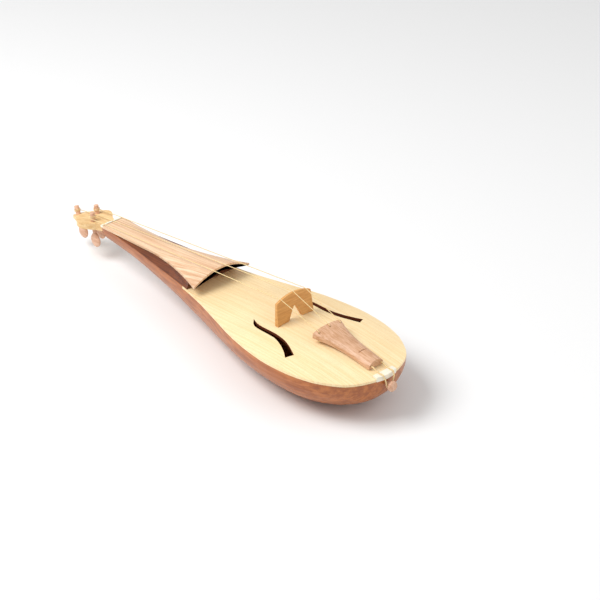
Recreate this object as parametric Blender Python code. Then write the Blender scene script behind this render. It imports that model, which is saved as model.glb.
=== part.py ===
"""Three-string rebec: one carved bowl and neck, an arched soundboard and a leaf-shaped peg head.

Lengths are in metres. In the instrument's own frame X runs from the nut to the tail, Y to the far
side and Z up from the plane of the soundboard's edge. One empty stands that frame on the floor.
"""
import math

import bmesh
import bpy
import numpy as np
from mathutils import Matrix, Vector

# Fits
GAP = 0.0003
PEG_CLEARANCE = 0.0003

# Bowl and neck
STRING_LENGTH = 0.330
BODY_LENGTH = 0.4835
BODY_WIDTH = 0.157
BODY_DEPTH = 0.056
BACK_CROWN = 0.0015
SECTION_FULLNESS = 2.2
NECK_TAB = 0.021
RIM = 0.0055
BACK_WALL = 0.0045
CHAMBER_START = 0.190
CHAMBER_END_ROUND = 0.024
TAIL_BLOCK = 0.012

# Half width at the edge plane: share of BODY_LENGTH, share of half of BODY_WIDTH
BODY_OUTLINE = (
    (0.0, 0.191), (0.074, 0.223), (0.147, 0.280), (0.219, 0.340), (0.347, 0.455), (0.4385, 0.5605),
    (0.527, 0.713), (0.639, 0.904), (0.709, 0.9745), (0.761, 1.0), (0.817, 0.981), (0.885, 0.892),
    (0.935, 0.739), (0.966, 0.586), (0.9845, 0.382), (0.997, 0.127), (1.0, 0.0),
)
# Depth of the back before its flat: share of BODY_LENGTH, share of the full depth
BACK_PROFILE = (
    (0.0, 0.35), (0.147, 0.44), (0.292, 0.64), (0.414, 0.88), (0.50, 0.985), (0.60, 1.0),
    (0.745, 1.0), (0.827, 0.985), (0.91, 0.852), (0.966, 0.626), (0.9886, 0.383), (0.997, 0.174),
    (1.0, 0.0),
)
# Neck end under the head: share of NECK_TAB behind the nut, share of the size at the nut
NECK_END_WIDTH = ((0.0, 1.0), (0.25, 0.93), (0.6, 0.72), (1.0, 0.42))
NECK_END_DEPTH = ((0.0, 1.0), (0.6, 0.93), (1.0, 0.80))

# Soundboard
BOARD_START = 0.178
BOARD_THICKNESS = 0.003
BOARD_CROWN = 0.0093
# Height of the crown: share of the board's length, share of BOARD_CROWN
BOARD_ARCH = (
    (0.0, 0.0), (0.05, 0.0), (0.10, 0.07), (0.24, 0.52), (0.40, 0.89), (0.54, 1.0), (0.66, 1.0),
    (0.80, 0.78), (0.90, 0.42), (0.96, 0.20), (1.0, 0.0),
)
# Sound hole, measured from the bridge line and the centre line: outer side, then inner side
HOLE_OUTER = (
    (-0.030, 0.0330), (-0.024, 0.0390), (-0.018, 0.0425), (-0.006, 0.0437), (0.016, 0.0440),
    (0.030, 0.0480), (0.038, 0.0515), (0.046, 0.0560), (0.053, 0.0610),
)
HOLE_INNER = (
    (0.0575, 0.0515), (0.046, 0.0460), (0.036, 0.0418), (0.025, 0.0388), (0.010, 0.0374),
    (-0.008, 0.0378), (-0.020, 0.0368),
)

# Bass bar and sound post
BAR_OFFSET = 0.017
BAR_LENGTH = 0.190
BAR_WIDTH = 0.005
BAR_HEIGHT = 0.009
POST_OFFSET = 0.020
POST_BEHIND_BRIDGE = 0.007
POST_RADIUS = 0.003

# Fingerboard, its riser and the nut
FINGERBOARD_LENGTH = 0.207
FINGERBOARD_THICKNESS = 0.0027
FINGERBOARD_END_WIDTH = 0.0868
FINGERBOARD_NUT_HEIGHT = 0.0034
FINGERBOARD_END_HEIGHT = 0.0250
# Half width: share of FINGERBOARD_LENGTH, share of half of FINGERBOARD_END_WIDTH
FINGERBOARD_OUTLINE = (
    (0.0, 0.392), (0.034, 0.390), (0.165, 0.368), (0.45, 0.365), (0.62, 0.455), (0.763, 0.611),
    (0.90, 0.815), (1.0, 1.0),
)
# Height of the long edges: share of FINGERBOARD_LENGTH, share of FINGERBOARD_END_HEIGHT
FINGERBOARD_EDGE = ((0.0, 0.130), (0.20, 0.165), (0.45, 0.245), (0.763, 0.375), (1.0, 0.492))
RISER_START = 0.030
RISER_OVERHANG = 0.010
RISER_LIP = 0.0008
NUT_WIDTH = 0.032
NUT_LENGTH = 0.005
NUT_HEIGHT = 0.0043

# Head plate
HEAD_LENGTH = 0.081
HEAD_WIDTH = 0.0486
HEAD_DROP = 0.0017
HEAD_RISE = 0.066
HEAD_CURL = 3.18
HEAD_THICK = 0.009
HEAD_TIP_THICK = 0.0032
# Half width: share of HEAD_LENGTH, share of half of HEAD_WIDTH
HEAD_OUTLINE = (
    (0.0, 0.330), (0.074, 0.337), (0.148, 0.449), (0.222, 0.556), (0.296, 0.749), (0.37, 0.897),
    (0.469, 1.0), (0.593, 0.856), (0.716, 0.560), (0.84, 0.375), (0.94, 0.215), (1.0, 0.0),
)

# Pegs: distance behind the nut, side, which side its string comes to
PEG_PLACES = ((0.0438, 0.0093, 1), (0.0715, 0.0, 1), (0.0275, -0.0100, -1))
PEG_RADIUS = 0.0031
PEG_STRING_END = 0.0115
PEG_COLLAR = 0.0046
PEG_SEAT = 0.86
PEG_STEM = 0.009
THUMB_LENGTH = 0.019
THUMB_WIDTH = 0.0185
THUMB_THICKNESS = 0.0062

# Bridge
BRIDGE_WIDTH = 0.0556
BRIDGE_TOP_WIDTH = 0.0522
BRIDGE_HEIGHT = 0.0338
BRIDGE_SHOULDER = 0.0279
BRIDGE_FOOT_THICKNESS = 0.0053
BRIDGE_TOP_THICKNESS = 0.0025
BRIDGE_LEAN = 0.0030
ARCH_WIDTH = 0.0205
ARCH_HEIGHT = 0.0176

# Tailpiece, tailgut, saddle and end button
TAILPIECE_START = 0.3865
TAILPIECE_LENGTH = 0.0785
TAILPIECE_WIDTH = 0.0444
TAILPIECE_RISE = 0.0049
TAILPIECE_SIDE = 0.0045
TAILPIECE_LIFT = 0.0144
TAILPIECE_TAIL_LIFT = 0.0034
TAILPIECE_TAIL_SIDE = 0.0020
TAILPIECE_TAIL_RISE = 0.0066
# Half width: share of TAILPIECE_LENGTH, share of half of TAILPIECE_WIDTH
TAILPIECE_OUTLINE = ((0.0, 1.0), (0.05, 0.955), (0.18, 0.78), (0.38, 0.615), (0.62, 0.53), (1.0, 0.498))
STRING_HOLE_INSET = 0.0050
STRING_HOLE_RADIUS = 0.0012
KNOT_RADIUS = 0.0019
GROOVE_INSET = 0.022
GROOVE_LENGTH = 0.012
GROOVE_WIDTH = 0.0009
GROOVE_DEPTH = 0.0012
SADDLE_LENGTH = 0.0085
SADDLE_WIDTH = 0.030
SADDLE_HEIGHT = 0.0028
SADDLE_OVERHANG = 0.0008
GUT_RADIUS = 0.0008
GUT_SPREAD = 0.0075
GUT_DEPTH = 0.010
BUTTON_DROP = 0.0105
BUTTON_SHANK = 0.008
BUTTON_NECK_RADIUS = 0.0030
BUTTON_HEAD_RADIUS = 0.0062
BUTTON_REACH = 0.0105
BUTTON_NECK_GAP = 0.0030

# Strings
STRING_RADIUS = 0.00045
NUT_SPREAD = 0.0133
BRIDGE_SPREAD = 0.0192
TAILPIECE_SPREAD = 0.0165
WINDING_TURNS = 2.5
WINDING_PITCH = 0.00150
WINDING_HEIGHT = 0.0040
WINDING_LEAD = 0.0030
POINTS_PER_LOOP = 24

# Worked out from the sizes above
FULL_DEPTH = BODY_DEPTH + BACK_CROWN
RIM_LEVEL = -(BOARD_THICKNESS + GAP)
BOARD_LENGTH = BODY_LENGTH - BOARD_START
WINDING_RADIUS = PEG_RADIUS + GAP + STRING_RADIUS
MIDDLE = (BODY_LENGTH + BUTTON_REACH - HEAD_LENGTH) / 2
CUT_CLEAR = 0.02


def smooth_curve(stations, where):
    """Monotone cubic through the stations, read at each place in where."""
    x, y = np.array(stations, dtype=float).T
    step = np.diff(x)
    rise = np.diff(y) / step
    same_way = rise[:-1] * rise[1:] > 0
    total = np.where(same_way, rise[:-1] + rise[1:], 1.0)
    slope = np.concatenate(([rise[0]], np.where(same_way, 2 * rise[:-1] * rise[1:] / total, 0.0), [rise[-1]]))
    at = np.clip(np.asarray(where, dtype=float), x[0], x[-1])
    left = np.clip(np.searchsorted(x, at) - 1, 0, len(step) - 1)
    h = step[left]
    t = (at - x[left]) / h
    start = (1 + 2 * t) * (1 - t) ** 2 * y[left] + t * (1 - t) ** 2 * h * slope[left]
    return start + t ** 2 * (3 - 2 * t) * y[left + 1] + t ** 2 * (t - 1) * h * slope[left + 1]


def round_curve(stations, where):
    """Like smooth_curve, but eased on the squares, so that a closing end comes out round."""
    squares = [(place, size ** 2) for place, size in stations]
    return np.sqrt(np.maximum(smooth_curve(squares, where), 0.0))


def body_half_width(x):
    """Half width of the neck and bowl at the edge plane."""
    x = np.asarray(x, dtype=float)
    shape = round_curve(BODY_OUTLINE, x / BODY_LENGTH)
    tab = smooth_curve(NECK_END_WIDTH, np.maximum(-x, 0) / NECK_TAB)
    return BODY_WIDTH / 2 * shape * tab


def body_full_depth(x):
    """Depth of the round of the back, before the flat is taken off it."""
    x = np.asarray(x, dtype=float)
    shape = round_curve(BACK_PROFILE, x / BODY_LENGTH)
    tab = smooth_curve(NECK_END_DEPTH, np.maximum(-x, 0) / NECK_TAB)
    return FULL_DEPTH * shape * tab


def body_end_at(y):
    """Place along X where the tail's outline reaches the half width y."""
    places = np.linspace(0.9 * BODY_LENGTH, BODY_LENGTH, 400)
    widths = body_half_width(places)
    return float(places[np.argmin(np.abs(widths - abs(y)))])


def board_crown(x):
    """Height of the soundboard's top on the centre line."""
    share = (np.asarray(x, dtype=float) - BOARD_START) / BOARD_LENGTH
    return BOARD_CROWN * smooth_curve(BOARD_ARCH, share)


def board_top(x, y):
    """Height of the soundboard's top face."""
    width = max(float(body_half_width(x)), 1e-6)
    return float(board_crown(x)) * max(0.0, 1 - (y / width) ** 2)


def board_underside(x, y):
    """Height of the soundboard's inner face, which is flat where it meets the rim."""
    width = float(body_half_width(x)) - RIM
    if width <= abs(y):
        return -BOARD_THICKNESS
    return float(board_crown(x)) * (1 - (y / width) ** 2) - BOARD_THICKNESS


def section_height(half_width, depth, y):
    """How far a full round section reaches down at the distance y from the middle."""
    share = min(abs(y) / half_width, 1.0)
    return depth * (1 - share ** SECTION_FULLNESS) ** (1 / SECTION_FULLNESS)


def chamber_size(x):
    """Half width and depth of the sound chamber, rounded at both ends."""
    first = np.clip((x - CHAMBER_START) / CHAMBER_END_ROUND, 0, 1)
    last = np.clip((BODY_LENGTH - TAIL_BLOCK - x) / CHAMBER_END_ROUND, 0, 1)
    ease = np.sqrt(1 - (1 - first) ** 2) * np.sqrt(1 - (1 - last) ** 2)
    return (body_half_width(x) - RIM) * ease, (body_full_depth(x) - BACK_CROWN - BACK_WALL) * ease


def head_face(behind):
    """Height of the head's face at a distance behind the nut."""
    return -HEAD_DROP + HEAD_RISE * behind - HEAD_CURL * behind ** 2


def head_slope(behind):
    """Rise of the head's face towards the nut."""
    return 2 * HEAD_CURL * behind - HEAD_RISE


def head_thickness(behind):
    """Thickness of the head, even over the neck and thinner towards the tip."""
    share = np.clip((behind - NECK_TAB) / (HEAD_LENGTH - NECK_TAB), 0, 1)
    return HEAD_THICK + (HEAD_TIP_THICK - HEAD_THICK) * share


def peg_seat(behind):
    """Depth below the face of the flat seat that a peg's collar turns on."""
    return PEG_SEAT * float(head_thickness(behind))


def bridge_top(y):
    """Height of the bridge's arched top."""
    level = board_top(STRING_LENGTH, BRIDGE_WIDTH / 2)
    drop = (BRIDGE_HEIGHT - BRIDGE_SHOULDER) * (2 * y / BRIDGE_TOP_WIDTH) ** 2
    return level + BRIDGE_HEIGHT - drop


def tailpiece_sizes(x):
    """Half width, underside, side height and rise of the top of the tailpiece."""
    share = (x - TAILPIECE_START) / TAILPIECE_LENGTH
    half = TAILPIECE_WIDTH / 2 * float(smooth_curve(TAILPIECE_OUTLINE, share))
    under = TAILPIECE_LIFT + (TAILPIECE_TAIL_LIFT - TAILPIECE_LIFT) * share
    side = TAILPIECE_SIDE + (TAILPIECE_TAIL_SIDE - TAILPIECE_SIDE) * share
    rise = TAILPIECE_RISE + (TAILPIECE_TAIL_RISE - TAILPIECE_RISE) * share
    return half, under, side, rise


def tailpiece_top(x, y):
    """Height of the tailpiece's arched top."""
    half, under, side, rise = tailpiece_sizes(x)
    return under + side + rise * math.sqrt(max(0.0, 1 - (y / half) ** 2))


def material(name, color, roughness):
    """Plain Principled material."""
    made = bpy.data.materials.new(name)
    made.use_nodes = True
    shader = made.node_tree.nodes["Principled BSDF"]
    shader.inputs["Base Color"].default_value = (*color, 1.0)
    shader.inputs["Roughness"].default_value = roughness
    shader.inputs["Metallic"].default_value = 0.0
    return made


def add_object(name, data, finish, parent):
    """Put a mesh or curve in the scene under its parent."""
    made = bpy.data.objects.new(name, data)
    if finish is not None:
        data.materials.append(finish)
    bpy.context.scene.collection.objects.link(made)
    made.parent = parent
    return made


def finish_mesh(name, shape, smooth_angle=35):
    """Turn a bmesh into a closed, outward-facing mesh."""
    bmesh.ops.remove_doubles(shape, verts=shape.verts, dist=2e-6)
    bmesh.ops.dissolve_degenerate(shape, dist=1e-6, edges=shape.edges)
    bmesh.ops.recalc_face_normals(shape, faces=shape.faces)
    mesh = bpy.data.meshes.new(name)
    shape.to_mesh(mesh)
    shape.free()
    mesh.shade_smooth()
    mesh.set_sharp_from_angle(angle=math.radians(smooth_angle))
    return mesh


def loft(name, rings, smooth_angle=35):
    """Skin closed rings of equal count and cap both ends."""
    shape = bmesh.new()
    rows = [[shape.verts.new(point) for point in ring] for ring in rings]
    count = len(rings[0])
    for first, second in zip(rows, rows[1:]):
        for i in range(count):
            j = (i + 1) % count
            shape.faces.new((first[i], first[j], second[j], second[i]))
    for row in (rows[0], rows[-1]):
        middle = sum((vert.co for vert in row), Vector()) / count
        hub = shape.verts.new(middle)
        for i in range(count):
            shape.faces.new((row[i], row[(i + 1) % count], hub))
    return finish_mesh(name, shape, smooth_angle)


def prism(name, outline, low, high):
    """Extrude a plan outline between two heights."""
    rings = [[(x, y, level) for x, y in outline] for level in (low, high)]
    return loft(name, rings)


def block(name, low, high):
    """Straight block between two corners."""
    outline = [(low[0], low[1]), (high[0], low[1]), (high[0], high[1]), (low[0], high[1])]
    return prism(name, outline, low[2], high[2])


def turned(name, profile, place, direction, sides=20):
    """Turn a profile of distance and radius about an axis."""
    turn = Vector((0, 0, 1)).rotation_difference(Vector(direction)).to_matrix()
    rings = []
    for along, radius in profile:
        ring = []
        for i in range(sides):
            angle = 2 * math.pi * i / sides
            point = Vector((radius * math.cos(angle), radius * math.sin(angle), along))
            ring.append(turn @ point + Vector(place))
        rings.append(ring)
    return loft(name, rings)


def cut(target, name, cutter_mesh, parent):
    """Take a cutter's shape out of a piece."""
    cutter = add_object(name, cutter_mesh, None, parent)
    cutter.hide_render = True
    cutter.display_type = "WIRE"
    step = target.modifiers.new(name, "BOOLEAN")
    step.operation = "DIFFERENCE"
    step.object = cutter


def tube(name, points, radius, resolution, finish, parent):
    """Round tube along the points."""
    curve = bpy.data.curves.new(name, "CURVE")
    curve.dimensions = "3D"
    curve.bevel_depth = radius
    curve.bevel_resolution = resolution
    curve.use_fill_caps = True
    line = curve.splines.new("POLY")
    line.points.add(len(points) - 1)
    for target, point in zip(line.points, points):
        target.co = (*point, 1.0)
    return add_object(name, curve, finish, parent)


def eased_places(first, last, count):
    """Places that crowd together towards the last one."""
    share = np.linspace(0, 1, count)
    return first + (last - first) * (1 - (1 - share) ** 2)


def round_section(x, half_width, depth, floor, top, steps):
    """Ring of a round-bottomed section with straight walls up to the top."""
    ring = []
    for angle in np.linspace(0, math.pi, steps):
        across = math.copysign(abs(math.cos(angle)) ** (2 / SECTION_FULLNESS), math.cos(angle))
        down = abs(math.sin(angle)) ** (2 / SECTION_FULLNESS)
        ring.append((x, half_width * across, max(-depth * down, floor)))
    if top > 0:
        ring += [(x, -half_width, top), (x, half_width, top)]
    return ring


def body_shell(finish, root):
    """Bowl and neck carved from one piece, with the seats of the soundboard, head and end button."""
    places = np.concatenate((np.linspace(-NECK_TAB, 0, 6)[:-1], eased_places(0, BODY_LENGTH, 34)))
    widths, depths = body_half_width(places), body_full_depth(places)
    rings = [round_section(x, w, d, -BODY_DEPTH, 0, 23) for x, w, d in zip(places, widths, depths)]
    shell = add_object("body_shell", loft("body_shell", rings, 50), finish, root)

    half = BODY_WIDTH / 2 + CUT_CLEAR
    low = (BOARD_START - GAP, -half, RIM_LEVEL)
    high = (BODY_LENGTH + CUT_CLEAR, half, CUT_CLEAR)
    cut(shell, "cut_board_seat", block("cut_board_seat", low, high), root)

    ends = (CHAMBER_START, BODY_LENGTH - TAIL_BLOCK)
    spread = np.linspace(0, math.pi, 24)[1:-1]
    places = (ends[0] + ends[1]) / 2 - (ends[1] - ends[0]) / 2 * np.cos(spread)
    rings = [round_section(x, *map(float, chamber_size(x)), -BODY_DEPTH, CUT_CLEAR / 2, 17) for x in places]
    cut(shell, "cut_chamber", loft("cut_chamber", rings), root)

    places = np.linspace(NUT_LENGTH, NECK_TAB + CUT_CLEAR, 8)
    rings = []
    for behind in places:
        seat = head_face(behind) - float(head_thickness(behind)) - GAP
        rings.append([(-behind, -half, seat), (-behind, half, seat), (-behind, half, CUT_CLEAR), (-behind, -half, CUT_CLEAR)])
    cut(shell, "cut_head_seat", loft("cut_head_seat", rings), root)

    radius = BUTTON_NECK_RADIUS + GAP
    start = (BODY_LENGTH - BUTTON_SHANK - GAP, 0, -BUTTON_DROP)
    hole = turned("cut_button_hole", ((0, radius), (BUTTON_SHANK + CUT_CLEAR, radius)), start, (1, 0, 0))
    cut(shell, "cut_button_hole", hole, root)
    return shell


def sound_hole_outline(side):
    """Outline of one sound hole, in plan."""
    outer = densify(HOLE_OUTER)
    inner = densify(HOLE_INNER + HOLE_OUTER[:1])[:-1]
    return [(STRING_LENGTH + x, side * y) for x, y in outer + inner]


def densify(points):
    """Add one point on a smooth curve between each two points."""
    result = [points[0]]
    for i in range(len(points) - 1):
        before = points[max(i - 1, 0)]
        after = points[min(i + 2, len(points) - 1)]
        middle = [(9 * (points[i][k] + points[i + 1][k]) - before[k] - after[k]) / 16 for k in (0, 1)]
        result += [tuple(middle), points[i + 1]]
    return result


def saddle_outline(grow):
    """Plan of the saddle: a straight front and a back that follows the tail."""
    half = SADDLE_WIDTH / 2 + grow
    front = body_end_at(0) - SADDLE_LENGTH - grow
    across = np.linspace(-half, half, 9)
    back = [(body_end_at(y) + SADDLE_OVERHANG + grow, y) for y in across]
    return [(front, half), (front, -half)] + back


def soundboard(finish, root):
    """Arched board with two sound holes and a notch for the saddle."""
    places = eased_places(BOARD_START, BODY_LENGTH, 26)
    shares = np.linspace(-1, 1, 15)
    rings = []
    for x in places:
        width = float(body_half_width(x))
        top = [(x, share * width, board_top(x, share * width)) for share in shares]
        under = [(x, share * width, board_underside(x, share * width)) for share in shares[::-1]]
        rings.append(top + under)
    board = add_object("soundboard", loft("soundboard", rings, 40), finish, root)
    for side, name in ((-1, "cut_near_hole"), (1, "cut_far_hole")):
        cut(board, name, prism(name, sound_hole_outline(side), -CUT_CLEAR, CUT_CLEAR), root)
    notch = prism("cut_saddle_notch", saddle_outline(GAP), -CUT_CLEAR / 2, CUT_CLEAR / 2)
    cut(board, "cut_saddle_notch", notch, root)
    return board


def bass_bar(finish, root):
    """Bar along the inside of the soundboard, under the near foot of the bridge."""
    rings = []
    for share in np.linspace(0, 1, 15):
        x = STRING_LENGTH + (share - 0.5) * BAR_LENGTH
        height = BAR_HEIGHT * (0.3 + 0.7 * math.sin(math.pi * share))
        ring = []
        for y in (-BAR_OFFSET - BAR_WIDTH / 2, -BAR_OFFSET + BAR_WIDTH / 2):
            ring.append((x, y, board_underside(x, y) - GAP))
        middle = board_underside(x, -BAR_OFFSET) - GAP - height
        ring += [(x, ring[1][1], middle), (x, ring[0][1], middle)]
        rings.append(ring)
    return add_object("bass_bar", loft("bass_bar", rings), finish, root)


def sound_post(finish, root):
    """Round post that stands between the back and the soundboard, behind the far foot."""
    x = STRING_LENGTH + POST_BEHIND_BRIDGE
    half, depth = map(float, chamber_size(x))
    top, foot = [], []
    for i in range(16):
        angle = 2 * math.pi * i / 16
        px = x + POST_RADIUS * math.cos(angle)
        py = POST_OFFSET + POST_RADIUS * math.sin(angle)
        top.append((px, py, board_underside(px, py) - GAP))
        foot.append((px, py, -section_height(half, depth, py) + 2 * GAP))
    return add_object("sound_post", loft("sound_post", [foot, top]), finish, root)


def fingerboard_section(x):
    """Half width, edge height and middle height of the fingerboard."""
    share = x / FINGERBOARD_LENGTH
    half = FINGERBOARD_END_WIDTH / 2 * float(smooth_curve(FINGERBOARD_OUTLINE, share))
    edge = FINGERBOARD_END_HEIGHT * float(smooth_curve(FINGERBOARD_EDGE, share))
    middle = FINGERBOARD_NUT_HEIGHT + (FINGERBOARD_END_HEIGHT - FINGERBOARD_NUT_HEIGHT) * share
    return half, edge, middle


def arch_points(x, half, edge, middle, count):
    """Points over an arch from the far side to the near side."""
    return [(x, half * s, edge + (middle - edge) * (1 - s * s)) for s in np.linspace(1, -1, count)]


def fingerboard(finish, root):
    """Arched fingerboard that flares over the end of the soundboard."""
    rings = []
    for x in np.linspace(GAP, FINGERBOARD_LENGTH, 20):
        half, edge, middle = fingerboard_section(x)
        top = arch_points(x, half, edge, middle, 13)
        under = arch_points(x, half, edge - FINGERBOARD_THICKNESS, middle - FINGERBOARD_THICKNESS, 13)
        rings.append(top + under[::-1])
    return add_object("fingerboard", loft("fingerboard", rings), finish, root)


def fingerboard_riser(finish, root):
    """Dark wedge between the neck and the fingerboard, as wide as the neck at its foot."""
    rings = []
    for x in np.linspace(RISER_START, BOARD_START + RISER_OVERHANG, 16):
        half, edge, middle = fingerboard_section(x)
        base = float(body_half_width(x)) - GAP
        drop = FINGERBOARD_THICKNESS + GAP
        half = min(half - GAP, base - GAP)
        top = arch_points(x, half, max(edge - drop, GAP + RISER_LIP), middle - drop, 11)
        rings.append([(x, base, GAP), (x, base, GAP + RISER_LIP)] + top + [(x, -base, GAP + RISER_LIP), (x, -base, GAP)])
    return add_object("fingerboard_riser", loft("fingerboard_riser", rings), finish, root)


def nut(finish, root):
    """Nut with its top sloped towards the head."""
    profile = (
        (-NUT_LENGTH, GAP), (-GAP, GAP), (-GAP, NUT_HEIGHT), (-0.45 * NUT_LENGTH, NUT_HEIGHT),
        (-NUT_LENGTH, 0.62 * NUT_HEIGHT),
    )
    half = min(NUT_WIDTH / 2, float(body_half_width(-NUT_LENGTH)) + 0.002)
    rings = [[(x, y, z) for x, z in profile] for y in (-half, half)]
    return add_object("nut", loft("nut", rings), finish, root)


def peg_head(finish, root):
    """Leaf-shaped head plate that bends back and thins towards its tip."""
    shares = np.linspace(-1, 1, 7)
    rings = []
    for behind in eased_places(NUT_LENGTH + GAP, HEAD_LENGTH, 24):
        half = HEAD_WIDTH / 2 * float(round_curve(HEAD_OUTLINE, behind / HEAD_LENGTH))
        face = head_face(behind)
        thick = float(head_thickness(behind))
        top = [(-behind, share * half, face) for share in shares]
        under = [(-behind, share * half, face - thick) for share in shares[::-1]]
        rings.append(top + under)
    plate = add_object("peg_head", loft("peg_head", rings), finish, root)
    for number, (behind, side, _) in enumerate(PEG_PLACES, 1):
        name = f"cut_peg_hole_{number}"
        radius = PEG_RADIUS + PEG_CLEARANCE
        reach = HEAD_THICK + CUT_CLEAR
        seat, level = PEG_COLLAR + PEG_CLEARANCE, -peg_seat(behind)
        profile = ((-reach, seat), (level, seat), (level, radius), (reach, radius))
        hole = turned(name, profile, (0, 0, 0), (0, 0, 1), 16)
        hole.transform(peg_matrix(behind, side))
        cut(plate, name, hole, root)
    return plate


def peg_matrix(behind, side):
    """Place of a peg: origin on the head's face, local Z along the peg, out of the face."""
    slope = head_slope(behind)
    along = Vector((1, 0, slope)).normalized()
    out = Vector((-slope, 0, 1)).normalized()
    turn = Matrix((along, (0, 1, 0), out)).transposed().to_4x4()
    return Matrix.Translation((-behind, side, head_face(behind))) @ turn


def peg_mesh(behind):
    """Peg with a string end, a stem through the head, a collar and a flat thumb piece behind."""
    thick = peg_seat(behind) + GAP
    rows = [
        (PEG_STRING_END, 0.86, 0.86), (PEG_STRING_END - 0.0004, 1.0, 1.0), (0.0, 1.0, 1.0), (-thick, 1.0, 1.0),
    ]
    rows = [(z, a * PEG_RADIUS, b * PEG_RADIUS) for z, a, b in rows]
    collar = PEG_COLLAR
    rows += [(-thick, collar, collar), (-thick - 0.0014, collar, collar), (-thick - 0.0022, 0.7 * collar, 0.7 * collar)]
    top = -thick - PEG_STEM
    rows.append((top, 0.78 * PEG_RADIUS, 0.78 * PEG_RADIUS))
    half, flat = THUMB_WIDTH / 2, THUMB_THICKNESS / 2
    for share, wide, deep in ((0.16, 0.62, 0.9), (0.36, 0.92, 1.0), (0.58, 1.0, 0.95), (0.80, 0.84, 0.8), (0.94, 0.5, 0.6), (1.0, 0.2, 0.3)):
        rows.append((top - share * THUMB_LENGTH, wide * half, deep * flat))
    rings = []
    for z, a, b in rows:
        angles = [2 * math.pi * i / 16 for i in range(16)]
        rings.append([(a * math.cos(angle), b * math.sin(angle), z) for angle in angles])
    return loft("peg", rings)


def winding_points(way):
    """Turns of string round a peg, in the peg's frame, with a straight lead towards the nut."""
    steps = int(WINDING_TURNS * POINTS_PER_LOOP)
    lead = [(WINDING_LEAD * share, way * WINDING_RADIUS, WINDING_HEIGHT) for share in (1.0, 0.6)]
    turns = []
    for i in range(steps + 1):
        angle = 2 * math.pi * i / POINTS_PER_LOOP
        height = WINDING_HEIGHT + WINDING_PITCH * max(0.0, angle - 0.5) / (2 * math.pi)
        across = way * WINDING_RADIUS * math.cos(angle)
        turns.append((-WINDING_RADIUS * math.sin(angle), across, height))
    return lead + turns


def least_gap(points, radius, skip):
    """Least distance between turns of one tube, measured on its points."""
    places = np.array(points)
    apart = [np.linalg.norm(places[i + skip:] - places[i], axis=1).min() for i in range(len(places) - skip)]
    return min(apart) - 2 * radius


def bridge(finish, root):
    """Bridge with two feet that follow the soundboard and a pointed arch between them."""
    half, top_half = BRIDGE_WIDTH / 2, BRIDGE_TOP_WIDTH / 2
    level = board_top(STRING_LENGTH, half)
    foot = [(y, board_top(STRING_LENGTH, y) + GAP) for y in np.linspace(half, ARCH_WIDTH / 2, 4)]
    arch = [(ARCH_WIDTH / 2 * (1 - s) ** 0.8, foot[-1][1] + (ARCH_HEIGHT - GAP) * s) for s in (0.25, 0.5, 0.75, 0.93)]
    side = foot + arch
    crown = [(y, bridge_top(y)) for y in np.linspace(-top_half, top_half, 13)]
    outline = side + [(-y, z) for y, z in side[::-1]] + crown
    highest = max(z for _, z in outline)
    shape = bmesh.new()
    rows = []
    for face in (0, 1):
        row = []
        for y, z in outline:
            share = (z - level) / (highest - level)
            thick = BRIDGE_FOOT_THICKNESS + (BRIDGE_TOP_THICKNESS - BRIDGE_FOOT_THICKNESS) * share
            x = STRING_LENGTH + BRIDGE_LEAN * (1 - share) + (face - 0.5) * thick
            row.append(shape.verts.new((x, y, z)))
        rows.append(row)
    for i in range(len(outline)):
        j = (i + 1) % len(outline)
        shape.faces.new((rows[0][i], rows[0][j], rows[1][j], rows[1][i]))
    for row in rows:
        shape.faces.new(row)
    bmesh.ops.triangulate(shape, faces=[face for face in shape.faces if len(face.verts) > 4])
    return add_object("bridge", finish_mesh("bridge", shape), finish, root)


def string_hole_places():
    """Plan places of the three string holes in the tailpiece."""
    x = TAILPIECE_START + STRING_HOLE_INSET
    return [(x, TAILPIECE_SPREAD * side) for side in (1, 0, -1)]


def tailpiece(finish, root):
    """Arched tailpiece with string holes, a groove over its tail and two gut holes in its end."""
    rings = []
    for x in np.linspace(TAILPIECE_START, TAILPIECE_START + TAILPIECE_LENGTH, 14):
        half, under, side, rise = tailpiece_sizes(x)
        ring = [(x, half, under), (x, half, under + side)]
        for angle in np.linspace(0, math.pi, 13)[1:-1]:
            ring.append((x, half * math.cos(angle), under + side + rise * math.sin(angle)))
        rings.append(ring + [(x, -half, under + side), (x, -half, under)])
    piece = add_object("tailpiece", loft("tailpiece", rings), finish, root)
    for number, (x, y) in enumerate(string_hole_places(), 1):
        name = f"cut_string_hole_{number}"
        profile = ((0, STRING_HOLE_RADIUS), (2 * CUT_CLEAR, STRING_HOLE_RADIUS))
        cut(piece, name, turned(name, profile, (x, y, 0), (0, 0, 1), 10), root)
    end = TAILPIECE_START + TAILPIECE_LENGTH
    for side in (-1, 1):
        name = f"cut_gut_hole_{'near' if side < 0 else 'far'}"
        radius = GUT_RADIUS + GAP
        start = (end - GUT_DEPTH - GAP, side * GUT_SPREAD, gut_level())
        cut(piece, name, turned(name, ((0, radius), (CUT_CLEAR * 2, radius)), start, (1, 0, 0), 10), root)
    x = end - GROOVE_INSET
    bottom = tailpiece_top(x, GROOVE_LENGTH / 2) - GROOVE_DEPTH
    low = (x, -GROOVE_LENGTH / 2, bottom)
    high = (x + GROOVE_WIDTH, GROOVE_LENGTH / 2, bottom + CUT_CLEAR)
    cut(piece, "cut_groove", block("cut_groove", low, high), root)
    return piece


def gut_level():
    """Height of the tailgut's holes in the end of the tailpiece."""
    _, under, side, rise = tailpiece_sizes(TAILPIECE_START + TAILPIECE_LENGTH)
    return under + side + 0.22 * rise


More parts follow.
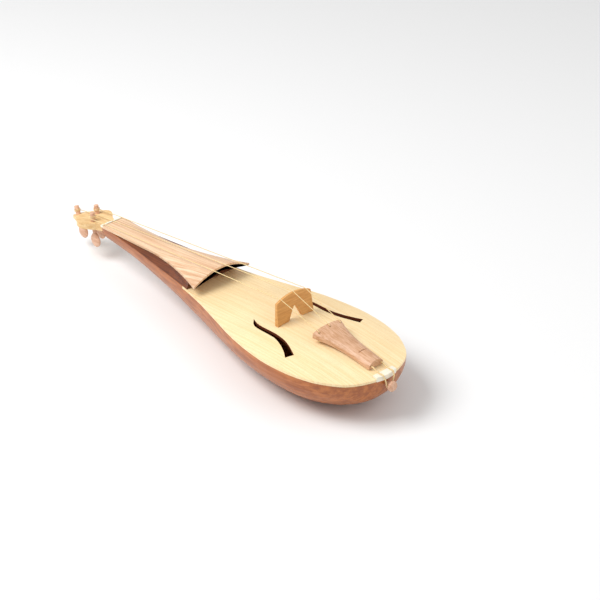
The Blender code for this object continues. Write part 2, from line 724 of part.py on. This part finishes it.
def tailgut(finish, root):
    """Loop of gut from the tailpiece over the saddle and round the end button."""
    end = TAILPIECE_START + TAILPIECE_LENGTH
    lift = SADDLE_HEIGHT + GUT_RADIUS + GAP
    back = body_end_at(GUT_SPREAD) + SADDLE_OVERHANG + GUT_RADIUS + GAP
    front = body_end_at(0) - SADDLE_LENGTH
    around = BODY_LENGTH + BUTTON_NECK_GAP
    hook = BUTTON_NECK_RADIUS + GUT_RADIUS + GAP
    half = [
        (end - GUT_DEPTH, GUT_SPREAD, gut_level()), (end + 0.001, GUT_SPREAD, gut_level()),
        (end + 0.003, GUT_SPREAD, gut_level() - 0.0002),
        (front - 0.001, GUT_SPREAD, lift + 0.0002), (front + 0.002, GUT_SPREAD, lift),
        (back - 0.0016, GUT_SPREAD, lift), (back - 0.0006, GUT_SPREAD, lift - 0.0003),
        (back, GUT_SPREAD, lift - 0.0012), (around, GUT_SPREAD - 0.0006, -0.001),
        (around, (GUT_SPREAD + hook) / 2, -BUTTON_DROP / 2),
    ]
    turn = []
    for i in range(9):
        angle = math.pi * i / 8
        turn.append((around, hook * math.cos(angle), -BUTTON_DROP - hook * math.sin(angle)))
    points = half + turn + [(x, -y, z) for x, y, z in half[::-1]]
    return tube("tailgut", points, GUT_RADIUS, 2, finish, root)


def saddle(finish, root):
    """Saddle let into the edge of the soundboard at the tail."""
    mesh = prism("saddle", saddle_outline(0), RIM_LEVEL + GAP, SADDLE_HEIGHT)
    return add_object("saddle", mesh, finish, root)


def end_button(finish, root):
    """Turned button with its shank in the tail of the bowl and a waist for the gut."""
    start = BUTTON_SHANK
    neck, head = BUTTON_NECK_RADIUS, BUTTON_HEAD_RADIUS
    profile = (
        (0, neck), (start + BUTTON_NECK_GAP + GUT_RADIUS + GAP, neck), (start + BUTTON_REACH - 0.0056, 0.9 * head),
        (start + BUTTON_REACH - 0.0045, head), (start + BUTTON_REACH - 0.0020, head),
        (start + BUTTON_REACH - 0.0006, 0.8 * head), (start + BUTTON_REACH, 0.42 * head),
    )
    place = (BODY_LENGTH - BUTTON_SHANK, 0, -BUTTON_DROP)
    return add_object("end_button", turned("end_button", profile, place, (1, 0, 0)), finish, root)


def string_route(number):
    """Route of one string from its peg's winding to the underside of the tailpiece."""
    behind, side, way = PEG_PLACES[number]
    spread = (1, 0, -1)[number]
    matrix = peg_matrix(behind, side)
    lift = STRING_RADIUS + GAP
    nut_y, bridge_y = spread * NUT_SPREAD, spread * BRIDGE_SPREAD
    start = [matrix @ Vector((WINDING_LEAD + GAP + step, way * WINDING_RADIUS, WINDING_HEIGHT)) for step in (0.0, 0.001)]
    over_nut = [(-0.45 * NUT_LENGTH, nut_y, NUT_HEIGHT + lift), (-GAP, nut_y, NUT_HEIGHT + lift)]
    half_top = BRIDGE_TOP_THICKNESS / 2
    crest = bridge_top(bridge_y) + lift
    over_bridge = [(STRING_LENGTH + step * half_top, bridge_y, crest) for step in (-1, 1)]
    x, y = string_hole_places()[number]
    mouth = tailpiece_top(x, y)
    under = tailpiece_sizes(x)[1]
    down = [(x - 0.0012, y, mouth + 0.0012), (x - 0.0003, y, mouth + 0.0007), (x, y, mouth - 0.0002), (x, y, under)]
    return [tuple(point) for point in start] + over_nut + over_bridge + down


def string_knot(number, finish, root):
    """Knot that holds a string under the tailpiece."""
    x, y = string_hole_places()[number]
    slope = (TAILPIECE_LIFT - TAILPIECE_TAIL_LIFT) / TAILPIECE_LENGTH
    under = tailpiece_sizes(x)[1] - slope * KNOT_RADIUS / 2
    place = Matrix.Translation((x, y, under - KNOT_RADIUS - GAP))
    shape = bmesh.new()
    bmesh.ops.create_icosphere(shape, subdivisions=2, radius=KNOT_RADIUS, matrix=place)
    name = f"string_{number + 1}_knot"
    return add_object(name, finish_mesh(name, shape, 180), finish, root)


def build():
    """Make every piece of the instrument."""
    for item in list(bpy.data.objects):
        bpy.data.objects.remove(item, do_unlink=True)
    root = bpy.data.objects.new("rebec", None)
    root.location = (-MIDDLE, 0, BODY_DEPTH)
    bpy.context.scene.collection.objects.link(root)

    bowl_wood = material("bowl_wood", (0.50, 0.19, 0.06), 0.38)
    spruce = material("spruce", (0.90, 0.74, 0.50), 0.45)
    inner_spruce = material("inner_spruce", (0.80, 0.63, 0.40), 0.6)
    dark_wood = material("dark_wood", (0.17, 0.05, 0.015), 0.42)
    fingerboard_wood = material("fingerboard_wood", (0.82, 0.60, 0.42), 0.45)
    pale_wood = material("pale_wood", (0.84, 0.60, 0.33), 0.5)
    peg_wood = material("peg_wood", (0.70, 0.42, 0.28), 0.45)
    bridge_wood = material("bridge_wood", (0.72, 0.40, 0.16), 0.5)
    tailpiece_wood = material("tailpiece_wood", (0.68, 0.40, 0.24), 0.45)
    bone = material("bone", (0.88, 0.83, 0.70), 0.35)
    gut = material("gut", (0.86, 0.66, 0.36), 0.4)

    body_shell(bowl_wood, root)
    soundboard(spruce, root)
    bass_bar(inner_spruce, root)
    sound_post(inner_spruce, root)
    fingerboard_riser(dark_wood, root)
    fingerboard(fingerboard_wood, root)
    nut(bone, root)
    peg_head(pale_wood, root)
    bridge(bridge_wood, root)
    tailpiece(tailpiece_wood, root)
    tailgut(gut, root)
    saddle(bone, root)
    end_button(peg_wood, root)
    for number, (behind, side, way) in enumerate(PEG_PLACES, 1):
        peg = add_object(f"peg_{number}", peg_mesh(behind), peg_wood, root)
        peg.matrix_local = peg_matrix(behind, side)
        points = winding_points(way)
        tube(f"peg_{number}_winding", points, STRING_RADIUS, 1, gut, peg)
        gap = least_gap(points, STRING_RADIUS, POINTS_PER_LOOP // 2)
        print(f"peg_{number}_winding least gap to itself {gap * 1000:.2f} mm")
        tube(f"string_{number}", string_route(number - 1), STRING_RADIUS, 2, gut, root)
        string_knot(number - 1, gut, root)


build()
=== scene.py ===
"""Finishes, studio and camera for a three-string rebec."""
import math

import bpy
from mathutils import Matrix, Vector


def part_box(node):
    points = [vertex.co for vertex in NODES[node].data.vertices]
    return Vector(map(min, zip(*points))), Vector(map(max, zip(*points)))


bl_info = {
    "name": "Rebec",
    "version": (1, 0, 0),
    "blender": (4, 5, 0),
    "location": "3D View > Sidebar > Rebec",
    "description": "Dresses a three-string rebec in its woods, gut and bone",
    "category": "Object",
}

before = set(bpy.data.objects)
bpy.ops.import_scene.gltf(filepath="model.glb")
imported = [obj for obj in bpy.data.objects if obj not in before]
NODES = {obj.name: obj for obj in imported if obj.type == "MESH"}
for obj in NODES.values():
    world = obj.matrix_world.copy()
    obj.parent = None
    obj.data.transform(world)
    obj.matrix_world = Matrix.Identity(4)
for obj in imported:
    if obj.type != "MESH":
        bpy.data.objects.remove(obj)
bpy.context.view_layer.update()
BODY_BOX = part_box("body_shell")

WHITE = (1.0, 1.0, 1.0)

# Zone of painted shade on the walls of the sound holes, in metres: its middle behind the bridge,
# and how far it reaches from there along and across the board
HOLE_MIDDLE = 0.0135
HOLE_REACH = 0.048
HOLE_SIDE = 0.064
# A face counts as a hole's wall where the upright part of its normal is under this
WALL_LIMIT = 0.5

# Growth lines of every wood
GROWTH_DETAIL = 5.0
GROWTH_ROUGHNESS = 0.62
GROWTH_DISTORTION = 0.05
GROWTH_DARK_UP_TO = 0.38
GROWTH_LIGHT_FROM = 0.60
GROWTH_DEPTH = 0.0003

# Slow change of tone of every wood
FIGURE_DETAIL = 3.0
FIGURE_TONES = ((0.30, (0.86, 0.84, 0.82)), (0.65, WHITE))

# Pores of every wood, with how close they are along each axis, per metre
PORE_CLOSENESS = (260.0, 2600.0, 2600.0)
PORE_DETAIL = 2.0
PORE_TONES = ((0.34, (0.80, 0.76, 0.72)), (0.46, WHITE))
PORE_AMOUNT = 0.6
PORE_STRENGTH = 0.6
PORE_DEPTH = 0.0001

# Oil on the wood: duller where the growth noise is low and glossier where it is high
DULLER = 0.10
GLOSSIER = 0.06
COAT_ROUGHNESS = 0.25

# Soft clouds of gut and bone
CLOUD_DETAIL = 4.0
CLOUD_SPOTS_UP_TO = 0.35
CLOUD_BASE_FROM = 0.60
CLOUD_STRENGTH = 0.08
CLOUD_DEPTH = 0.0002
LIGHT_SPREAD = (0.002, 0.0012, 0.0006)

# Studio, in metres, with the camera's sensor in millimetres
FLOOR_REACH = 6.0
FLOOR_ROUGHNESS = 0.9
KEY_SIZE = 1.2
KEY_PLACE = (-0.6, -1.0, 1.6)
FILL_SIZE = 1.6
FILL_PLACE = (1.4, 0.8, 1.1)
SENSOR_WIDTH = 36.0
VIEW_END = 50.0

# Sockets of the mix node when it mixes colours
MIX_AMOUNT = 0
MIX_FIRST = 6
MIX_SECOND = 7
MIX_RESULT = 2


def colour(name, text, value):
    """A colour that a user can change."""
    return bpy.props.FloatVectorProperty(
        name=name, description=text, default=value, subtype="COLOR", size=3, min=0.0, max=1.0)


def share(name, text, value, high=1.0):
    """A plain number that a user can change."""
    return bpy.props.FloatProperty(name=name, description=text, default=value, min=0.0, max=high)


def angle(name, text, degrees):
    """An angle that a user can change."""
    return bpy.props.FloatProperty(
        name=name, description=text, default=math.radians(degrees), subtype="ANGLE")


def power(name, text, watts):
    """A lamp's power that a user can change."""
    return bpy.props.FloatProperty(
        name=name, description=text, default=watts, min=0.0, max=100.0, unit="POWER")


class RebecFinish(bpy.types.PropertyGroup):
    """Colours and grain of the rebec's materials."""

    bowl: colour("Bowl", "Oiled wood of the bowl and neck", (0.52, 0.165, 0.032))
    bowl_dark: colour("Bowl grain", "Dark streaks of the bowl", (0.34, 0.088, 0.014))
    board: colour("Soundboard", "Pale spruce between its growth lines", (0.96, 0.77, 0.47))
    board_dark: colour("Soundboard lines", "Growth lines of the spruce", (0.90, 0.66, 0.34))
    # Painted shade: dark red-brown laid on the upright walls of the sound holes
    hole_wall_shade: colour("Hole wall shade", "Painted shade on the walls of the sound holes", (0.16, 0.035, 0.012))
    # Riser: darker than the bowl, partly the wood's own tone and partly painted shade of the
    # fingerboard above
    riser: colour("Riser", "Darker red-brown under the fingerboard, partly painted shade", (0.20, 0.048, 0.009))
    riser_dark: colour("Riser grain", "Dark streaks of the riser", (0.085, 0.018, 0.004))
    fingerboard: colour("Fingerboard", "Pale pear wood of the fingerboard", (0.90, 0.68, 0.47))
    fingerboard_dark: colour("Fingerboard grain", "Lines of the fingerboard", (0.66, 0.37, 0.20))
    head: colour("Head", "Pale maple of the head", (0.90, 0.65, 0.34))
    head_dark: colour("Head grain", "Grain of the head", (0.74, 0.47, 0.20))
    pegs: colour("Pegs", "Pink pear wood of the pegs and end button", (0.82, 0.52, 0.36))
    pegs_dark: colour("Peg grain", "Grain of the pegs and end button", (0.66, 0.36, 0.22))
    bridge: colour("Bridge", "Maple of the bridge", (0.78, 0.41, 0.13))
    bridge_dark: colour("Bridge flecks", "Flecks of the bridge", (0.64, 0.30, 0.08))
    tailpiece: colour("Tailpiece", "Pear wood of the tailpiece", (0.76, 0.47, 0.30))
    tailpiece_dark: colour("Tailpiece grain", "Grain of the tailpiece", (0.58, 0.30, 0.15))
    bone: colour("Bone", "Bone of the nut and saddle", (0.90, 0.85, 0.70))
    gut: colour("Gut", "Gut of the strings and tailgut", (0.88, 0.66, 0.34))
    floor: colour("Floor", "Pale studio floor", (0.86, 0.86, 0.86))
    grain_depth: share("Grain depth", "How far the grain shows in relief", 0.12)


class RebecStage(bpy.types.PropertyGroup):
    """Camera and lamps."""

    azimuth: angle("Azimuth", "Camera's turn about the rebec", 46.9)
    elevation: angle("Elevation", "Camera's height angle", 30.3)
    distance: bpy.props.FloatProperty(
        name="Distance", description="Camera to the point it looks at", default=2.34, unit="LENGTH")
    lens: bpy.props.FloatProperty(
        name="Lens", description="Focal length in millimetres", default=120.0, unit="CAMERA")
    aim: bpy.props.FloatVectorProperty(
        name="Aim", description="Point in the middle of the picture",
        default=(0.0906, 0.0422, 0.056), subtype="TRANSLATION", size=3)
    key: power("Key lamp", "Power of the key lamp in watts", 34.0)
    fill: power("Fill lamp", "Power of the fill lamp in watts", 7.0)
    sky: share("Sky", "Strength of the even light from all round", 0.58, 5.0)


def link(tree, source, output, target, socket):
    """Join two nodes."""
    tree.links.new(source.outputs[output], target.inputs[socket])


def add_ramp(tree, source, stops):
    """Colour ramp of two stops over a noise."""
    ramp = tree.nodes.new("ShaderNodeValToRGB")
    for element, (place, value) in zip(ramp.color_ramp.elements, stops):
        element.position = place
        element.color = (*value, 1.0)
    link(tree, source, "Fac", ramp, "Fac")
    return ramp


def add_noise(tree, source, output, scale, detail):
    """Noise read at the places that a node gives."""
    noise = tree.nodes.new("ShaderNodeTexNoise")
    noise.inputs["Scale"].default_value = scale
    noise.inputs["Detail"].default_value = detail
    link(tree, source, output, noise, "Vector")
    return noise


def add_stretch(tree, place, closeness):
    """Places scaled along each axis, for a noise that is closer along some of them."""
    stretch = tree.nodes.new("ShaderNodeMapping")
    stretch.inputs["Scale"].default_value = closeness
    link(tree, place, "Object", stretch, "Vector")
    return stretch


def add_relief(tree, source, strength, depth):
    """Relief from a noise."""
    relief = tree.nodes.new("ShaderNodeBump")
    relief.inputs["Strength"].default_value = strength
    relief.inputs["Distance"].default_value = depth
    link(tree, source, "Fac", relief, "Height")
    return relief


def multiply_colours(tree, first, output, second, amount):
    """One colour times another, by an amount."""
    mix = tree.nodes.new("ShaderNodeMix")
    mix.data_type = "RGBA"
    mix.blend_type = "MULTIPLY"
    mix.inputs[MIX_AMOUNT].default_value = amount
    link(tree, first, output, mix, MIX_FIRST)
    link(tree, second, "Color", mix, MIX_SECOND)
    return mix


def new_finish(name):
    """A material with its node tree and shader."""
    made = bpy.data.materials.new(name)
    made.use_nodes = True
    return made, made.node_tree, made.node_tree.nodes["Principled BSDF"]


def wood(name, light, dark, *, lines, figure, roughness, relief, coat=0.0, across=(1.0, 1.0),
         along=0.012):
    """Wood with growth lines along X, a slow change of tone and fine pores.

    lines and figure are how close the growth lines and the changes of tone are, per metre. across
    gives that closeness along Y and Z as shares of lines, and along gives it along X.
    """
    made, tree, shader = new_finish(name)
    shader.inputs["Coat Weight"].default_value = coat
    shader.inputs["Coat Roughness"].default_value = COAT_ROUGHNESS
    place = tree.nodes.new("ShaderNodeTexCoord")

    stretch = add_stretch(tree, place, (lines * along, lines * across[0], lines * across[1]))
    growth = add_noise(tree, stretch, "Vector", 1.0, GROWTH_DETAIL)
    growth.inputs["Roughness"].default_value = GROWTH_ROUGHNESS
    growth.inputs["Distortion"].default_value = GROWTH_DISTORTION
    slow = add_noise(tree, place, "Object", figure, FIGURE_DETAIL)
    pore_stretch = add_stretch(tree, place, PORE_CLOSENESS)
    pores = add_noise(tree, pore_stretch, "Vector", 1.0, PORE_DETAIL)

    grain = add_ramp(tree, growth, ((GROWTH_DARK_UP_TO, dark), (GROWTH_LIGHT_FROM, light)))
    tone = add_ramp(tree, slow, FIGURE_TONES)
    fleck = add_ramp(tree, pores, PORE_TONES)
    toned = multiply_colours(tree, grain, "Color", tone, amount=1.0)
    flecked = multiply_colours(tree, toned, MIX_RESULT, fleck, amount=PORE_AMOUNT)
    link(tree, flecked, MIX_RESULT, shader, "Base Color")

    gloss = tree.nodes.new("ShaderNodeMapRange")
    gloss.inputs["To Min"].default_value = roughness + DULLER
    gloss.inputs["To Max"].default_value = roughness - GLOSSIER
    link(tree, growth, "Fac", gloss, "Value")
    link(tree, gloss, "Result", shader, "Roughness")

    lined = add_relief(tree, growth, relief, GROWTH_DEPTH)
    pored = add_relief(tree, pores, relief * PORE_STRENGTH, PORE_DEPTH)
    link(tree, lined, "Normal", pored, "Normal")
    link(tree, pored, "Normal", shader, "Normal")
    return made


def below(tree, source, output, limit):
    """One where a value is nearer to zero than the limit, else zero."""
    size = tree.nodes.new("ShaderNodeMath")
    size.operation = "ABSOLUTE"
    link(tree, source, output, size, 0)
    test = tree.nodes.new("ShaderNodeMath")
    test.operation = "LESS_THAN"
    test.inputs[1].default_value = limit
    link(tree, size, "Value", test, 0)
    return test


def split(tree, source, output):
    """The X, Y and Z of a vector."""
    parts = tree.nodes.new("ShaderNodeSeparateXYZ")
    link(tree, source, output, parts, "Vector")
    return parts


def paint_shade_on_hole_walls(made, wall_shade, middle):
    """Paint shade on the upright walls of the sound holes, and leave the board's outer edge pale.
    """
    tree = made.node_tree
    shader = tree.nodes["Principled BSDF"]
    surface = tree.nodes.new("ShaderNodeNewGeometry")
    normal = split(tree, surface, "True Normal")
    place = tree.nodes.new("ShaderNodeTexCoord")
    shift = tree.nodes.new("ShaderNodeMapping")
    shift.inputs["Location"].default_value = (-middle, 0, 0)
    link(tree, place, "Object", shift, "Vector")
    spot = split(tree, shift, "Vector")
    mask = below(tree, normal, "Z", WALL_LIMIT)
    for test in (below(tree, spot, "X", HOLE_REACH), below(tree, spot, "Y", HOLE_SIDE)):
        both = tree.nodes.new("ShaderNodeMath")
        both.operation = "MULTIPLY"
        link(tree, mask, "Value", both, 0)
        link(tree, test, "Value", both, 1)
        mask = both
    mix = tree.nodes.new("ShaderNodeMix")
    mix.data_type = "RGBA"
    link(tree, mask, "Value", mix, MIX_AMOUNT)
    unshaded = shader.inputs["Base Color"].links[0].from_socket
    tree.links.new(unshaded, mix.inputs[MIX_FIRST])
    mix.inputs[MIX_SECOND].default_value = (*wall_shade, 1.0)
    link(tree, mix, MIX_RESULT, shader, "Base Color")


def plain(name, base, spots, *, closeness, roughness, through):
    """Bone or gut: an even colour with soft clouds and a little light let through."""
    made, tree, shader = new_finish(name)
    shader.inputs["Roughness"].default_value = roughness
    shader.inputs["Subsurface Weight"].default_value = through
    shader.inputs["Subsurface Radius"].default_value = LIGHT_SPREAD
    place = tree.nodes.new("ShaderNodeTexCoord")
    cloud = add_noise(tree, place, "Object", closeness, CLOUD_DETAIL)
    ramp = add_ramp(tree, cloud, ((CLOUD_SPOTS_UP_TO, spots), (CLOUD_BASE_FROM, base)))
    link(tree, ramp, "Color", shader, "Base Color")
    relief = add_relief(tree, cloud, CLOUD_STRENGTH, CLOUD_DEPTH)
    link(tree, relief, "Normal", shader, "Normal")
    return made


def dress(finish, *names):
    """Give carried-over nodes their finish."""
    for name in names:
        piece = bpy.data.objects[name]
        if not piece.material_slots:
            raise RuntimeError(f"{name} has no material slot")
        for slot in piece.material_slots:
            slot.material = finish


def darker(value, amount):
    """A colour times an amount."""
    return tuple(channel * amount for channel in value)


class RebecBowl(bpy.types.Operator):
    """Oiled red-brown wood on the bowl and neck, and a darker red-brown on the riser, partly
    painted shade
    """

    bl_idname = "rebec.bowl"
    bl_label = "Bowl and riser"

    def execute(self, context):
        look = context.scene.rebec_finish
        depth = look.grain_depth
        bowl = wood("bowl_wood", look.bowl, look.bowl_dark, lines=190, figure=9, roughness=0.40,
                    relief=depth, coat=0.25)
        dress(bowl, "body_shell")
        # Darker red-brown on the riser: partly its own wood, partly painted shade of the
        # fingerboard above
        riser = wood("riser_wood_with_painted_shade", look.riser, look.riser_dark, lines=620, figure=12,
                     roughness=0.45, relief=depth * 1.5)
        dress(riser, "fingerboard_riser")
        return {"FINISHED"}


class RebecBoard(bpy.types.Operator):
    """Close-grained spruce on the soundboard, and duller spruce inside"""

    bl_idname = "rebec.board"
    bl_label = "Soundboard"

    def execute(self, context):
        look = context.scene.rebec_finish
        depth = look.grain_depth
        spruce = wood("spruce", look.board, look.board_dark, lines=520, figure=6, roughness=0.46,
                      relief=depth, across=(1.0, 0.2))
        bridge_low, bridge_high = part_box("bridge")
        bridge_line = (bridge_low[0] + bridge_high[0]) / 2
        # Painted shade: the sound holes' upright walls darkened to a dark red-brown
        paint_shade_on_hole_walls(spruce, look.hole_wall_shade, bridge_line + HOLE_MIDDLE)
        dress(spruce, "soundboard")
        inner = wood("inner_spruce", darker(look.board, 0.86), look.board_dark, lines=420,
                     figure=8, roughness=0.6, relief=depth)
        dress(inner, "bass_bar", "sound_post")
        return {"FINISHED"}


class RebecFingerboard(bpy.types.Operator):
    """Fine-lined pale wood on the fingerboard and pale maple on the head"""

    bl_idname = "rebec.fingerboard"
    bl_label = "Fingerboard and head"

    def execute(self, context):
        look = context.scene.rebec_finish
        depth = look.grain_depth
        board = wood("fingerboard_wood", look.fingerboard, look.fingerboard_dark, lines=520,
                     figure=7, roughness=0.42, relief=depth * 1.3, across=(1.0, 0.15), along=0.006)
        dress(board, "fingerboard")
        head = wood("head_wood", look.head, look.head_dark, lines=260, figure=14, roughness=0.5,
                    relief=depth)
        dress(head, "peg_head")
        return {"FINISHED"}


class RebecFittings(bpy.types.Operator):
    """Pegs, bridge, tailpiece and end button"""

    bl_idname = "rebec.fittings"
    bl_label = "Pegs, bridge and tailpiece"

    def execute(self, context):
        look = context.scene.rebec_finish
        depth = look.grain_depth
        pegs = wood("peg_wood", look.pegs, look.pegs_dark, lines=380, figure=20, roughness=0.42,
                    relief=depth)
        dress(pegs, "peg_1", "peg_2", "peg_3", "end_button")
        bridge = wood("bridge_wood", look.bridge, look.bridge_dark, lines=420, figure=30,
                      roughness=0.5, relief=depth, across=(0.1, 1.0), along=1.0)
        dress(bridge, "bridge")
        tail = wood("tailpiece_wood", look.tailpiece, look.tailpiece_dark, lines=560, figure=24,
                    roughness=0.42, relief=depth)
        dress(tail, "tailpiece")
        return {"FINISHED"}


class RebecStrings(bpy.types.Operator):
    """Gut on the strings, windings, knots and tailgut, and bone on the nut and saddle"""

    bl_idname = "rebec.strings"
    bl_label = "Strings, nut and saddle"

    def execute(self, context):
        look = context.scene.rebec_finish
        gut = plain("gut", look.gut, darker(look.gut, 0.8), closeness=900, roughness=0.32,
                    through=0.15)
        names = [name for name in NODES if name.startswith("string_") or name.endswith("winding")]
        dress(gut, "tailgut", *names)
        bone = plain("bone", look.bone, darker(look.bone, 0.9), closeness=160, roughness=0.3,
                     through=0.12)
        dress(bone, "nut", "saddle")
        return {"FINISHED"}


def lay_floor(scene, paint_colour):
    """Floor square that the rebec's back rests on."""
    reach, level = FLOOR_REACH, BODY_BOX[0][2]
    sides = ((-1, -1), (1, -1), (1, 1), (-1, 1))
    mesh = bpy.data.meshes.new("studio_floor")
    mesh.from_pydata([(x * reach, y * reach, level) for x, y in sides], [], [(0, 1, 2, 3)])
    floor = bpy.data.objects.new("studio_floor", mesh)
    scene.collection.objects.link(floor)
    paint, _, shader = new_finish("studio_floor")
    shader.inputs["Base Color"].default_value = (*paint_colour, 1.0)
    shader.inputs["Roughness"].default_value = FLOOR_ROUGHNESS
    mesh.materials.append(paint)
    return floor


def light_sky(scene, strength):
    """Even white light from all round."""
    world = bpy.data.worlds.new("studio")
    world.use_nodes = True
    back = world.node_tree.nodes["Background"]
    back.inputs["Color"].default_value = (*WHITE, 1.0)
    back.inputs["Strength"].default_value = strength
    scene.world = world


def add_lamp(scene, name, watts, size, place, aim):
    """Soft square lamp turned to a point."""
    data = bpy.data.lights.new(name, "AREA")
    data.energy = watts
    data.size = size
    lamp = bpy.data.objects.new(name, data)
    lamp.location = place
    lamp.rotation_euler = (aim - Vector(place)).to_track_quat("-Z", "Y").to_euler()
    scene.collection.objects.link(lamp)


def add_camera(scene, stage, aim):
    """Camera at its angles and distance from the point it looks at."""
    flat = math.cos(stage.elevation)
    away = Vector((math.sin(stage.azimuth) * flat, -math.cos(stage.azimuth) * flat,
                   math.sin(stage.elevation)))
    data = bpy.data.cameras.new("camera")
    data.lens = stage.lens
    data.sensor_width = SENSOR_WIDTH
    data.clip_end = VIEW_END
    camera = bpy.data.objects.new("camera", data)
    camera.location = aim + away * stage.distance
    camera.rotation_euler = (-away).to_track_quat("-Z", "Y").to_euler()
    scene.collection.objects.link(camera)
    scene.camera = camera


class RebecStudio(bpy.types.Operator):
    """Pale floor, soft lamps and the camera"""

    bl_idname = "rebec.studio"
    bl_label = "Studio"

    def execute(self, context):
        scene = context.scene
        stage = scene.rebec_stage
        floor = lay_floor(scene, scene.rebec_finish.floor)
        light_sky(scene, stage.sky)
        scene.view_settings.view_transform = "Standard"
        aim = Vector(stage.aim)
        add_lamp(scene, "key_lamp", stage.key, KEY_SIZE, KEY_PLACE, aim)
        add_lamp(scene, "fill_lamp", stage.fill, FILL_SIZE, FILL_PLACE, aim)
        add_camera(scene, stage, aim)
        return {"FINISHED"}


OPERATORS = (RebecBowl, RebecBoard, RebecFingerboard, RebecFittings, RebecStrings, RebecStudio)


class RebecPanel(bpy.types.Panel):
    """Lists the rebec's operators in the sidebar"""

    bl_idname = "VIEW3D_PT_rebec"
    bl_label = "Rebec"
    bl_space_type = "VIEW_3D"
    bl_region_type = "UI"
    bl_category = "Rebec"

    def draw(self, context):
        for operator in OPERATORS:
            self.layout.operator(operator.bl_idname)


CLASSES = (RebecFinish, RebecStage, *OPERATORS, RebecPanel)


def register():
    """Add the classes and their settings."""
    for item in CLASSES:
        bpy.utils.register_class(item)
    bpy.types.Scene.rebec_finish = bpy.props.PointerProperty(type=RebecFinish)
    bpy.types.Scene.rebec_stage = bpy.props.PointerProperty(type=RebecStage)


def unregister():
    """Take them away again."""
    del bpy.types.Scene.rebec_stage
    del bpy.types.Scene.rebec_finish
    for item in reversed(CLASSES):
        bpy.utils.unregister_class(item)


def main():
    """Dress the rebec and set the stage."""
    register()
    bpy.ops.rebec.bowl()
    bpy.ops.rebec.board()
    bpy.ops.rebec.fingerboard()
    bpy.ops.rebec.fittings()
    bpy.ops.rebec.strings()
    bpy.ops.rebec.studio()


if __name__ == "__main__":
    main()
